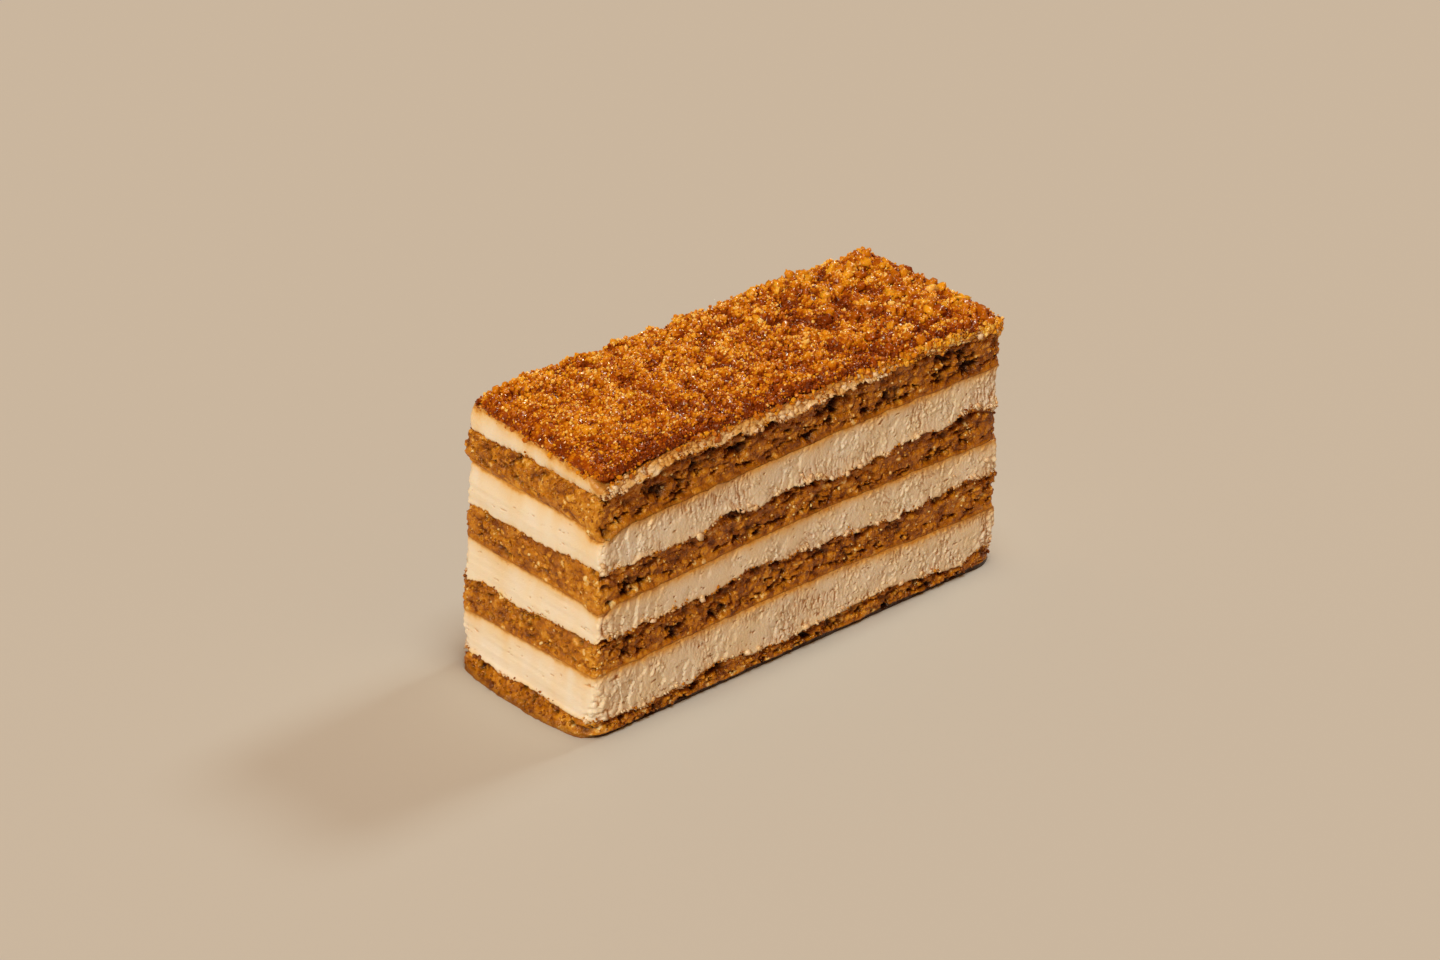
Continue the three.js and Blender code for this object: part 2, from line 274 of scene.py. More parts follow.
SHEET_FEET = (2, 4, 6)  # seams under a sheet
SHEET_FOOT_BACK = 0.15
WANDER_SIZE = 5.0  # of the slow wander of a seam and of the splits
ROUGH_SIZE = 1.2


def seam_depth(index):
    """How far a seam lies behind the cut, all round: a slow wander, more under a sheet, and more and rougher
    along a torn top."""
    place = outline_points(SEAM_RINGS[index]) * [1, 1, 0] + [0, 0, 17.3 * index]
    slow = soft_noise(place, WANDER_SIZE, 22)
    rough = soft_noise(place, ROUGH_SIZE, 21)
    under_sheet = SHEET_FOOT_BACK * (index in SHEET_FEET)
    return 0.05 + 0.2 * slow + (under_sheet + SEAMS[index][3] * 0.3 * rough) * ON_SIDE


SEAM_RINGS = [seam_ring(index) for index in range(len(SEAMS))]
SEAM_DEPTHS = [seam_depth(index) for index in range(len(SEAMS))]
SEAM_BLEND = 0.3  # height over which a layer's own relief gives way to the seam's
CORNER_DEPTH = 1.3  # the most that a corner is set back, so that its sides don't cross


def cut_face(layer, rows):
    """The even cut round one layer, before its relief: rows shared out between its two seams, on the outline.
    Gives the points, and the heights over the seam below and under the seam above."""
    low = SEAM_RINGS[layer]
    high = SEAM_RINGS[layer + 1]
    share = np.linspace(0, 1, rows + 1)[:, None]
    height = low + (high - low) * share
    return outline_points(height), height - low, np.maximum(high - height, 0)


def meet_seams(layer, depth, above, below, foot=0.0, top=0.0):
    """Blends a layer's relief into the depth of its two seams, so that neighbours lie flush where they touch.
    At its foot or top a layer may lie further back than the seam by a given amount."""
    at_low = bell(above, SEAM_BLEND)
    at_high = bell(below, SEAM_BLEND)
    own = 1 - np.maximum(at_low, at_high)
    seam = np.where(at_low > at_high, SEAM_DEPTHS[layer] + foot, SEAM_DEPTHS[layer + 1] + top)
    return own * depth + (1 - own) * seam


def set_back(points, depth, left, right):
    """Moves the cut's points in behind it by a depth, less far round a corner, and shifts the middle rows of
    a layer whose left or right end has slipped."""
    inward = np.minimum(depth, CORNER_DEPTH + 9 * (1 - ON_CORNER))
    middle = np.sin(np.linspace(0, math.pi, len(points)))[:, None] ** 0.5
    along = (SHARES[:, 0] + 1) / 2
    moved = points.copy()
    for axis in range(2):
        slip = left[axis] + (right[axis] - left[axis]) * along
        moved[..., axis] += slip * middle - OUTWARD[:, axis] * inward
    return moved


LID_SCALES = (0.35, 0.9, 0.985)  # rings of a hidden lid, as shares of the outline
LID_DIP = 0.12


def closed_band(wall):
    """A closed body from the rings of its wall: lids of smaller rings, drawn in a little, and fans to the
    middles."""
    below = [wall[0] * [scale, scale, 1] + [0, 0, LID_DIP] for scale in LID_SCALES]
    above = [wall[-1] * [scale, scale, 1] - [0, 0, LID_DIP] for scale in reversed(LID_SCALES)]
    rings = np.concatenate([below, wall, above])
    rows, columns = rings.shape[:2]
    count = rows * columns
    here = np.arange(count).reshape(rows, columns)
    after = np.roll(here, -1, axis=1)
    quads = np.stack([here[:-1], after[:-1], after[1:], here[1:]], axis=-1).reshape(-1, 4)
    bottom_fan = np.stack([after[0], here[0], np.full(columns, count)], axis=-1)
    top_fan = np.stack([here[-1], after[-1], np.full(columns, count + 1)], axis=-1)
    points = np.concatenate([rings.reshape(-1, 3), rings[[0, -1]].mean(axis=1)])
    return points, quads, np.concatenate([bottom_fan, top_fan])


def band_values(values):
    """Spreads a value of the wall's rows over the lids and middles of a closed band."""
    below = np.repeat(values[:1], len(LID_SCALES), axis=0)
    above = np.repeat(values[-1:], len(LID_SCALES), axis=0)
    rows = np.concatenate([below, values, above])
    return np.concatenate([rows.ravel(), [values[0].mean(), values[-1].mean()]])


def make_piece(name, points, quads, triangles, attributes, material, slot, replaced=(), flat=False):
    """A piece of the cake as one mesh with values on its points, that rides on the body and may stand for
    nodes."""
    mesh = bpy.data.meshes.new(name)
    corners = np.concatenate([quads.ravel(), triangles.ravel()])
    quad_starts = 4 * np.arange(len(quads))
    triangle_starts = 4 * len(quads) + 3 * np.arange(len(triangles))
    starts = np.concatenate([quad_starts, triangle_starts])
    mesh.vertices.add(len(points))
    mesh.vertices.foreach_set("co", (points * MM).astype(np.float32).ravel())
    mesh.loops.add(len(corners))
    mesh.polygons.add(len(starts))
    mesh.polygons.foreach_set("loop_start", starts.astype(np.int32))
    mesh.polygons.foreach_set("vertices", corners.astype(np.int32))
    mesh.update(calc_edges=True)
    if flat:
        mesh.shade_flat()
    for key, values in attributes.items():
        mesh.attributes.new(key, "FLOAT", "POINT").data.foreach_set("value", values.astype(np.float32))
    mesh.materials.append(material)
    piece = bpy.data.objects.new(name, mesh)
    bpy.context.scene.collection.objects.link(piece)
    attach(piece, "root")
    if replaced:
        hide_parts(*replaced)


def make_layer(name, wall, values, material, slot, node):
    """A layer that runs through the slice: a closed band with values on its rows, in place of one node."""
    attributes = {key: band_values(value) for key, value in values.items()}
    make_piece(name, *closed_band(wall), attributes, material, slot, [node])


class Value:
    """A socket of a material. Sums and products of values add Math nodes, and node() adds any other node."""

    def __init__(self, socket):
        self.socket = socket

    def node(self, kind, settings=None, inputs=None, output=0):
        """Adds a node, sets it up, sets or links its sockets and gives one of its outputs."""
        tree = self.socket.id_data
        made = tree.nodes.new(kind)
        for key, setting in (settings or {}).items():
            if key == "stops":
                set_stops(made.color_ramp, setting)
            else:
                setattr(made, key, setting)
        for key, given in (inputs or {}).items():
            if isinstance(given, Value):
                tree.links.new(given.socket, made.inputs[key])
            else:
                made.inputs[key].default_value = given
        return Value(made.outputs[output])

    def maths(self, operation, first, second):
        return self.node("ShaderNodeMath", {"operation": operation}, {0: first, 1: second})

    def __add__(self, other):
        return self.maths("ADD", self, other)

    def __sub__(self, other):
        return self.maths("SUBTRACT", self, other)

    def __rsub__(self, other):
        return self.maths("SUBTRACT", other, self)

    def __mul__(self, other):
        return self.maths("MULTIPLY", self, other)

    def __pow__(self, other):
        return self.maths("POWER", self, other)

    __radd__ = __add__
    __rmul__ = __mul__

    def noise(self, size, detail):
        """Soft noise over these coordinates, of a size in millimetres, spread so that it reaches 0 and 1."""
        inputs = {"Vector": self, "Scale": 1 / (size * MM), "Detail": detail, "Roughness": 0.6}
        plain = self.node("ShaderNodeTexNoise", None, inputs, "Fac")
        return self.node("ShaderNodeMapRange", None, {"Value": plain, "From Min": 0.3, "From Max": 0.7})

    def attribute(self, name):
        """A value stored on the piece's points."""
        return self.node("ShaderNodeAttribute", {"attribute_name": name}, None, "Fac")

    def colours(self, stops):
        """A colour from stops of a place and a colour, by this value."""
        return self.node("ShaderNodeValToRGB", {"stops": stops}, {"Fac": self})

    def mix(self, start, end):
        """A colour from start to end by this share."""
        settings = {"data_type": "RGBA", "clamp_factor": True}
        return self.node("ShaderNodeMix", settings, {"Factor": self, 6: start, 7: end}, 2)

    def bump(self, depth):
        """A normal bent by this height, of a depth in millimetres."""
        return self.node("ShaderNodeBump", None, {"Height": self, "Distance": depth * MM})


def set_stops(colour_ramp, stops):
    """Puts stops of a place and a colour on a colour ramp, which starts with two."""
    while len(colour_ramp.elements) < len(stops):
        colour_ramp.elements.new(0.5)
    for element, (place, colour) in zip(colour_ramp.elements, stops):
        element.position = place
        element.color = colour


def shade(red, green, blue):
    """A colour as a screen shows it, from 0 to 255, as linear light: ((s + 0.055) / 1.055) ** 2.4."""
    return (*(((level / 255 + 0.055) / 1.055) ** 2.4 for level in (red, green, blue)), 1.0)


def new_material(name, constants):
    """A material with one Principled shader and the constants on its sockets. Gives it and its Object
    coordinates."""
    material = bpy.data.materials.new(name)
    material.use_nodes = True
    nodes = material.node_tree.nodes
    for key, value in constants.items():
        nodes["Principled BSDF"].inputs[key].default_value = value
    return material, Value(nodes.new("ShaderNodeTexCoord").outputs["Object"])


def set_shader(material, **varying):
    """Links what changes over the surface to the shader's sockets."""
    shader = material.node_tree.nodes["Principled BSDF"]
    for key, value in varying.items():
        material.node_tree.links.new(value.socket, shader.inputs[key.replace("_", " ").title()])


def moist_finish(weight, radius, scale, level, tint):
    """A moist stuff's constants: how much light runs inside it, how far for each colour, by a scale in
    millimetres, and the strength and colour of its glints."""
    subsurface = {"Subsurface Weight": weight, "Subsurface Radius": radius, "Subsurface Scale": scale * MM}
    return {**subsurface, "Specular IOR Level": level, "Specular Tint": tint}


HONEY_GLINT = (1.0, 0.84, 0.58, 1.0)
SPONGE_FINISH = moist_finish(0.2, (1.0, 0.45, 0.1), 0.7, 0.5, HONEY_GLINT)
SPONGE_PAINTED_SHADE = shade(44, 9, 0)
SPONGE_SKIN = shade(172, 104, 24)
SPONGE_SHADES = [
    # lightness, and the colour there: brown, ochre, gold, pale
    (0.2, shade(120, 56, 0)),
    (0.46, shade(186, 110, 8)),
    (0.68, shade(220, 150, 38)),
    (0.82, shade(244, 210, 140)),
]


def sponge_material():
    """Moist honey-brown crumb: painted shade in its gaps and at the foot, gold on lumps and lightest on
    their tops as painted light, pale on a few grains, orange at the skin.
    """
    material, place = new_material("honey_sponge", SPONGE_FINISH)
    fine = place.noise(0.45, 3.0)
    patch = place.noise(3.0, 3.0)
    lightness = place.attribute("tint") + 0.12 * fine + 0.3 * patch - 0.2
    skin = place.attribute("skin")
    skinned = (skin * (0.3 + 0.5 * patch)).mix(lightness.colours(SPONGE_SHADES), SPONGE_SKIN)
    # Painted shade: the depth value darkens the crumb to near black-brown in its gaps and at the foot of the
    # lowest sheet.
    colour = place.attribute("depth").mix(skinned, SPONGE_PAINTED_SHADE)
    roughness = 0.3 - 0.18 * patch + 0.3 * skin
    set_shader(material, base_color=colour, roughness=roughness, normal=fine.bump(0.12))
    return material


SPONGE_BACK = 0.1  # how far its even crumb lies behind the cut
LUMP_SIZE = (2.5, 2.5, 1.6)
LUMP_DEPTH = 2.0
LUMP_STEP = 0.5  # how much further back one lump may lie than the next
GRAIN_SIZE = 0.95
GRAIN_DEPTH = 0.6
GAP_SIZE = (2.3, 2.3, 1.0)
GAP_DEPTH = 1.7
SKIN_HEIGHT = 0.5
DENSE_SIZE = 4.5  # of the patches of denser and looser crumb
SPLIT_HEIGHT = 1.7  # of the row of splits between the skin and the open crumb, over the underside
SPLIT_WANDER = 1.2  # how far that row goes up and down
SPLIT_REACH = 0.5
TOP_REACH = 1.3  # height under the cream in which more lumps are missing
PAINTED_SHADE_DEPTHS = (0.6, 1.7)  # where the painted shade of the crumb starts behind the cut, and where it is darkest


def sponge_relief(place, above, below, openness, seed):
    """How far the crumb stays behind the cut: rounded lumps and grains as squared distances from their
    middles, a step for each lump, and gaps where a lump is missing, most of them over the skin and under the
    cream. Dense patches stay flatter, and the crumb is looser towards the top. Gives the depth, and a tint of
    each lump's and grain's own tone with painted light on their tops, lightest on top of the lumps."""
    warp = stray(place, 0.9, seed)
    lump, _, lump_own = grain_noise(place + 0.9 * warp, LUMP_SIZE, seed + 10)
    grain, _, grain_own = grain_noise(place + 0.4 * warp, GRAIN_SIZE, seed + 20)
    gap, _, gap_own = grain_noise(place + 1.2 * warp, GAP_SIZE, seed + 30)
    share = above / (above + below)
    loose = ramp(0.3, 0.7, soft_noise(place, DENSE_SIZE, seed + 40) + 0.3 * (share - 0.5))
    split_height = SPLIT_HEIGHT + SPLIT_WANDER * (soft_noise(place * [1, 1, 0], WANDER_SIZE, seed + 50) - 0.5)
    at_split = bell(above - split_height, SPLIT_REACH)
    at_top = np.exp(-below / TOP_REACH)
    chance = 0.06 + 0.5 * at_split + 0.45 * at_top + 0.28 * loose
    chance = chance * (0.45 + 0.55 * ON_SIDE * openness)
    missing = ramp(0, 0.12, chance - gap_own) * (1 - ramp(0.3, 0.65, gap))
    open_crumb = ramp(0.1, SKIN_HEIGHT, above)
    crumb = LUMP_DEPTH * lump**2 + LUMP_STEP * (lump_own - 0.5) + GRAIN_DEPTH * (grain**2 - 0.2)
    crumb *= (0.4 + 0.6 * loose) * (0.6 + 0.4 * ON_SIDE) * (0.5 + 0.5 * open_crumb)
    gaps = GAP_DEPTH * missing * (0.25 + 0.75 * open_crumb) * (0.6 + 0.4 * ON_SIDE)
    # Tint: each lump's and grain's own tone, and painted light that is lightest on the top of each lump and
    # grain.
    tint = 0.2 * lump_own + 0.14 * grain_own + 0.2 * (1 - np.minimum(lump, 1) ** 2)
    tint += 0.2 * ramp(0.9, 0.97, grain_own) + 0.12 * (1 - np.minimum(grain, 1) ** 2)
    return SPONGE_BACK + crumb + gaps, tint


UNDERCUT_END = 0.3  # how far the lowest edge is drawn in under the slice at its ends
UNDERCUT_SIDE = 0.6  # and along its long sides
UNDERCUT_HEIGHT = 0.9
UNDERCUT_RISE = 0.35  # how much higher it gets along the sides
UNDERCUT_WANDER = 6.0  # in what stretches it is higher and lower
CRUMBLY_SIZE = 1.6
CRUMBLY_DEPTH = 0.7
CRUMBLY_HEIGHT = 1.5
BELLY = 1.0  # how far the foot is pressed out in the middle of the ends
BELLY_HEIGHT = 3.5


def shaped_foot(cut, depth):
    """Shapes the foot of the lowest sheet. It is drawn in under the slice by a share of a hollow, which goes
    from 1 at the floor to 0 at an uneven height that rises from the left corners. At the ends it is crumbly,
    and pressed out by a belly that falls off with the square of the way from the end's middle. Gives the
    depth, and the painted shadow of the foot: dark in all of the hollow at the sides, and darker towards
    the floor at the ends."""
    height = cut[..., 2]
    lift = UNDERCUT_HEIGHT * (0.7 + 0.6 * soft_noise(cut * [1, 1, 0], UNDERCUT_WANDER, 91))
    lift = lift * (1 + UNDERCUT_RISE * ramp(-50, 0, cut[..., 0]) * ON_SIDE)
    hollow = np.clip(1 - height / lift, 0, 1)
    belly = BELLY * (1 - SHARES[:, 1] ** 2) * ON_END * (1 - ramp(0, BELLY_HEIGHT, height))
    drawn_in = UNDERCUT_SIDE * hollow * ON_SIDE + UNDERCUT_END * hollow**1.5 * ON_END
    pressed = 1 - 0.5 * (1 - ramp(0.5, 2.0, height)) * ON_SIDE
    # Painted shadow: the hollow along the long sides is painted dark as the contact shadow, and the ends
    # darker towards the floor.
    painted_shade = ramp(0.0, 0.3, hollow) * ON_SIDE + 0.4 * (1 - ramp(0.3, 2.0, height)) * ON_END
    crumbly = CRUMBLY_DEPTH * (rough_noise(cut, CRUMBLY_SIZE, 93) - 0.5) * ON_END
    crumbly = crumbly * (1 - ramp(0, CRUMBLY_HEIGHT, height))
    return depth * pressed + drawn_in + crumbly - belly, painted_shade


SPONGE_SHEETS = [
    # layer over the base, rows of the wall, slips of its left and right ends, how open its crumb is, how far
    # and in how long stretches its torn top falls back under the cream along the long sides, and how much
    # lighter its ends are painted, as painted light
    (0, 28, (0, 0), (0, 0), 0.55, 0.6, 2.6, 0.0),
    (2, 48, (-0.2, 0.4), (-0.2, 0.4), 1.0, 0.9, 2.6, 0.0),
    (4, 48, (-0.2, 0.5), (-0.2, 0.5), 1.0, 0.9, 2.6, 0.0),
    (6, 50, (-1.2, 1.3), (0, 0.2), 1.2, 1.35, 4.0, 0.04),
]
PAINTED_GLOW_CORNER = (-57.0, -20.0)  # the near left corner, where the crumb is painted lighter as a painted glow, along and across the slice
PAINTED_GLOW_REACH = 7.0
PAINTED_GLOW_TINT = 0.14
RECESS_HEIGHT = 0.7  # in what height under the cream the torn top falls back
SPONGE = sponge_material()
sponge_walls = []
for number, (layer, rows, left, right, openness, fall, stretch, painted_end_light) in enumerate(SPONGE_SHEETS, 1):
    cut, above, below = cut_face(layer, rows)
    relief, tint = sponge_relief(cut, above, below, openness, 100 * number)
    fallen = ramp(0.45, 0.7, soft_noise(cut * [1, 1, 0], stretch, 100 * number + 70))
    recess = fall * fallen * ON_SIDE
    depth = meet_seams(layer, relief, above, below, top=recess) + recess * np.exp(-below / RECESS_HEIGHT)
    # Painted shade: the further the crumb lies behind the cut, the darker it is painted.
    painted_shade = np.clip((depth - PAINTED_SHADE_DEPTHS[0]) / (PAINTED_SHADE_DEPTHS[1] - PAINTED_SHADE_DEPTHS[0]), 0, 1)
    # Painted glow: the crumb is painted lighter near the near left corner.
    from_corner = np.hypot(cut[..., 0] - PAINTED_GLOW_CORNER[0], cut[..., 1] - PAINTED_GLOW_CORNER[1])
    tint = tint + PAINTED_GLOW_TINT * bell(from_corner, PAINTED_GLOW_REACH) + painted_end_light * ON_END
    if layer == 0:
        tint = tint + 0.08 * ON_SIDE
        # The lowest sheet's foot adds its painted shadow to the painted shade of the crumb.
        depth, painted_foot_shadow = shaped_foot(cut, depth)
        painted_shade = np.maximum(painted_shade, painted_foot_shadow)
    wall = set_back(cut, depth, left, right)
    sponge_walls.append((wall, painted_shade))
    # The depth value on the points is painted shade, not a length.
    values = {"depth": painted_shade, "tint": tint, "skin": 1 - ramp(0.1, SKIN_HEIGHT, above)}
    make_layer(f"sponge_sheet_{number}", wall, values, SPONGE, "sponge", f"sponge_{number}")

# Cream fillings
# Three thick fillings of soft boiled-milk cream, spread between the sheets. The knife dragged the long sides
# into torn flakes and curdled them at the corners, and wiped the ends smooth but for a few thin cracks. Syrup
# has stained it along the seams.

CREAM_FINISH = moist_finish(0.25, (1.0, 0.7, 0.4), 0.6, 0.5, (1.0, 0.96, 0.9, 1.0))
CREAM_PALE = shade(242, 227, 202)
CREAM_WARM = shade(240, 218, 179)
CREAM_YELLOW = shade(234, 184, 102)
CREAM_STAIN = shade(200, 134, 50)
# Painted shade for the cream's pits and torn hollows.
CREAM_PAINTED_SHADE = shade(200, 136, 64)


def cream_material():
    """Pale custard-coloured cream, faintly blotched, yellow to orange where syrup soaked in, with painted
    shade in its pits and torn hollows.
    """
    material, place = new_material("milk_cream", CREAM_FINISH)
    fine = place.noise(0.4, 3.0)
    clean = place.noise(6.0, 3.0).mix(CREAM_PALE, CREAM_WARM)
    soaked = place.attribute("stain") * (0.8 + 0.4 * place.noise(1.2, 3.0))
    stained = (soaked**5.0).mix((soaked * 1.2).mix(clean, CREAM_YELLOW), CREAM_STAIN)
    colour = place.attribute("pit").mix(stained, CREAM_PAINTED_SHADE)
    set_shader(material, base_color=colour, roughness=0.28 + 0.15 * fine, normal=fine.bump(0.04))
    return material


FLAKE_PLAN = (0.75, 6.0)  # a flake's size along and across the slice
SCALE_SIZE = (2.4, 8.0, 3.6)
SCALE_DEPTH = 0.65
SCALE_END = -38.0  # the large scales near the left corner stop here, counted along the slice
SCALE_PATCH = 0.75  # how strong they are in the few patches further right
PATCH_SIZE = 4.0
TORN_SIZE = 4.5  # of stretches that are torn more and less
FINE_SIZE = 0.4  # of the finest roughness of the cream
CURD_SIZE = 1.2
CURD_DEPTH = 1.5
CURD_REACH = 5.0  # from a corner along the long sides
CURD_RISE = 5.0  # over the foot
CURL_SIZE = (0.8, 6.0, 1.6)
CURL_LEANS = (0.8, -0.6)  # along the slice for each millimetre of height, for two kinds of them
CURL_DEPTH = 0.3
CURL_PATCH = 5.0
OVERHANG = 0.3  # how far the torn foot of the cream may stand out over the sponge
OVERHANG_HEIGHT = 0.8
OVERHANG_LENGTH = 2.6  # of a stretch of it along the foot
PIT_SIZE = (1.2, 2.6, 0.5)
PIT_DEPTH = 0.4
SMEAR_SIZE = (9.0, 9.0, 0.9)
SMEAR_DEPTH = 0.15
SWELL_SIZE = 7.0
SWELL_DEPTH = 0.4
ALONG = np.array([1, 0, 0])


def torn_flakes(place, size, seed):
    """Flakes of torn cream, from 0 to 1: each grain of a size is a facet that falls back towards the right,
    as steeply as its own draw says, so that the next one's edge stands out and catches the light."""
    near, way, own = grain_noise(place, size, seed)
    return (0.15 + 0.85 * own) * np.clip(0.45 + 0.9 * way[..., 0], 0, 1.2) + 0.15 * near**2


def rolled_curls(place, lean, seed):
    """Small curls of cream that stand out, from 0 to 1: a rounded, leaning grain in about half the cells."""
    near, _, own = grain_noise(place + lean * place[..., 2:] * ALONG, CURL_SIZE, seed + round(10 * lean))
    return ramp(0.45, 0.6, own) * (1 - ramp(0.1, 0.5, near))


TORN = np.maximum(ON_SIDE, ON_CORNER)  # where the knife tore the cream, the corners' edges too


def near_corner(place):
    """How near a place along the slice is to a corner, from 0 to 1, by a bell."""
    return bell(BASE_LENGTH / 2 - np.abs(place[..., 0]), CURD_REACH)


def cream_relief(place, above, lean, flake_height, flake_depth, curd_share, seed):
    """How far the cream stays behind the cut. Long sides: torn flakes, large scales near the left corner and
    in a few patches, curls in patches and towards the right, curds at the foot of the corners, and a foot
    that stands out. Ends: flat smears. All over: a slow swell and a few thin cracks. Gives the depth, the
    painted shade of the cracks and torn hollows, and how far the foot stands out."""
    warp = stray(place, 1.1, seed + 1)
    leaned = place + 0.8 * warp + lean * place[..., 2:] * ALONG
    flakes = torn_flakes(leaned, (*FLAKE_PLAN, flake_height), seed + 10)
    scales = torn_flakes(place + 1.1 * warp, SCALE_SIZE, seed + 30)
    patches = SCALE_PATCH * ramp(0.58, 0.75, soft_noise(place, PATCH_SIZE, seed + 70))
    scaled = np.maximum(1 - ramp(SCALE_END - 8, SCALE_END + 4, place[..., 0]), patches)
    strength = 0.1 + ramp(0.35, 0.75, soft_noise(place, TORN_SIZE, seed + 6))
    rough = soft_noise(place, FINE_SIZE, seed + 5)
    torn = flake_depth * flakes * strength * (1 - 0.5 * scaled) + 0.06 * rough
    to_right = ramp(-20, 50, place[..., 0])
    curled = ramp(0.4, 0.7, soft_noise(place, CURL_PATCH, seed + 90) + 0.4 * to_right - 0.1)
    curls = [rolled_curls(place + 0.6 * warp, lean, seed + 80) for lean in CURL_LEANS]
    torn -= CURL_DEPTH * curled * np.maximum(*curls)
    wiped = SMEAR_DEPTH * soft_noise(place, SMEAR_SIZE, seed + 7) + 0.03 * rough
    curd, _, curd_own = grain_noise(place + 0.4 * warp, CURD_SIZE, seed + 50)
    curdled = curd_share * near_corner(place) * TORN * (0.3 + 0.7 * bell(above, CURD_RISE))
    curds = CURD_DEPTH * curdled * (np.minimum(curd, 1) ** 2 - 0.3 + 0.5 * (curd_own - 0.5))
    pits = ramp(0.74, 0.8, rough_noise(place + 0.4 * warp, PIT_SIZE, seed + 40))
    standing = ramp(0.35, 0.65, soft_noise(place * [1, 1, 0], OVERHANG_LENGTH, seed + 60)) * ON_SIDE
    standing = OVERHANG * standing * np.exp(-above / OVERHANG_HEIGHT)
    swell = SWELL_DEPTH * (soft_noise(place, SWELL_SIZE, seed) - 0.5)
    depth = 0.1 + swell + PIT_DEPTH * pits + curds - standing
    # Painted shade in the torn hollows of the long sides.
    hollow = 0.8 * ramp(0.05, 0.4, torn + curds) * ON_SIDE
    torn += SCALE_DEPTH * scaled * scales
    depth += torn * ON_SIDE + wiped * ON_END
    return depth, np.maximum(pits, hollow), standing


def cream_stain(place, above, below, seed):
    """Syrup in the cream, from 0 to 1: a thin line under the sheet above and over the one below, and a wide
    one under the sheet, strong along the long sides, and wider but fainter at the wiped ends. The torn long
    sides are stained at their foot too."""
    run = soft_noise(place * [1, 1, 0], 2.2, seed)
    line = np.maximum(np.exp(-below / (0.25 + 0.4 * run**2)), 0.8 * np.exp(-above / (0.25 + 0.5 * run**3)))
    wide = 0.7 * np.exp(-below / (0.8 + 2.4 * run))
    at_foot = 0.45 * run * np.exp(-above / 0.9)
    soaked = 0.9 * np.exp(-((below / (1.0 + 1.0 * run)) ** 1.4)) + at_foot + 0.1 * line
    return np.clip(soaked * ON_SIDE + (0.7 * line + wide) * ON_END, 0, 1)


CREAM = cream_material()
cream_feet = []
CREAM_FILLINGS = [
    # layer over the base, rows of the wall, how far it has slipped, how far its flakes lean along the slice
    # for each millimetre of height, their height and depth, how curdled its corners are, and how far syrup
    # tints its whole torn side
    (1, 50, (0, 0), 0.15, 1.6, 0.5, 1.0, 0.07),
    (3, 40, (0, 0), 0.8, 1.1, 0.44, 0.8, 0.03),
    (5, 46, (-0.5, 0.2), 0.15, 1.8, 0.46, 0.6, 0.0),
]
for number, (layer, rows, slip, *torn, side_tint) in enumerate(CREAM_FILLINGS, 1):
    cut, above, below = cut_face(layer, rows)
    relief, pits, standing = cream_relief(cut, above, *torn, 1000 + 100 * number)
    depth = meet_seams(layer, relief, above, below, foot=-standing)
    stain = np.minimum(cream_stain(cut, above, below, 1800 + number) + side_tint * ON_SIDE, 1)
    wall = set_back(cut, depth, slip, slip)
    cream_feet.append((wall, above))
    # The cracks and torn hollows carry painted shade.
    values = {"stain": stain, "pit": pits}
    make_layer(f"cream_filling_{number}", wall, values, CREAM, "cream", f"cream_{number}")

# Cream coat
# A thin coat of the same cream, spread over the top sheet to hold the crumbs. Its ends are smooth, and syrup
# seeps down them. Along the long sides it is torn into curds that hang over the sponge, and towards the right
# crumbs and syrup come to hide it.

COAT_LAYER = 7
COAT_ROWS = 22
COAT_FLAKES = (1.0, 1.0, 0.8)
COAT_CURDS = 0.7
COAT_SWELL = 4.0  # length of its slow swell
COAT_PATCH = 3.0  # size of the patches that crumbs hide
COAT_SLIPS = ((-0.6, 0.4), (0, 0.2))
COAT_FADE = (0.0, 50.0)  # along the slice, where crumbs and syrup come to hide the coat
SYRUP_RUN = 1.5  # how far syrup seeps down the ends from under the crumbs
COAT_SHOULDER = 1.1  # how far its upper edge is rounded off where it shows

cut, above, below = cut_face(COAT_LAYER, COAT_ROWS)
swell = soft_noise(cut, COAT_SWELL, 1502) - 0.5
curd, _, curd_own = grain_noise(cut + 0.5 * stray(cut, 0.9, 1530), COAT_FLAKES, 1510)
curds = COAT_CURDS * (np.minimum(curd, 1) ** 2 + 0.6 * (curd_own - 0.5))
curds = curds + 0.15 * soft_noise(cut, FINE_SIZE, 1501)
wiped = SMEAR_DEPTH * soft_noise(cut, SMEAR_SIZE, 1503)
fade = ramp(*COAT_FADE, cut[..., 0])
shoulder = COAT_SHOULDER * (1 - fade) * ON_SIDE * (above / (above + below)) ** 2
coat_depth = 0.05 + SWELL_DEPTH * swell + curds * ON_SIDE + wiped * ON_END
coat_depth = meet_seams(COAT_LAYER, coat_depth, above, below, foot=-OVERHANG * ON_SIDE) + shoulder
hidden = fade * ON_SIDE * ramp(0.3, 0.6, rough_noise(cut, COAT_PATCH, 1520))
under_rim = below * (0.75 - 0.2 * ON_SIDE)
seeping = 0.5 * ON_END * np.exp(-below / SYRUP_RUN)
stain = np.clip(cream_stain(cut, above, under_rim, 1804) + 0.6 * hidden + seeping, 0, 1)
coat_wall = set_back(cut, coat_depth, *COAT_SLIPS)
cream_feet.append((coat_wall, above))
make_layer("top_coat", coat_wall, {"stain": stain, "pit": 0 * stain}, CREAM, "cream", "cream_coat")

# Crumb bed
# The sponge's trimmings, dried and crushed, pressed on the coat as a bed about 2 mm thick with lumps of stuck
# crumbs. Its surface is clumps and grains throughout, and its rim is ragged, rounded and soaked by syrup.

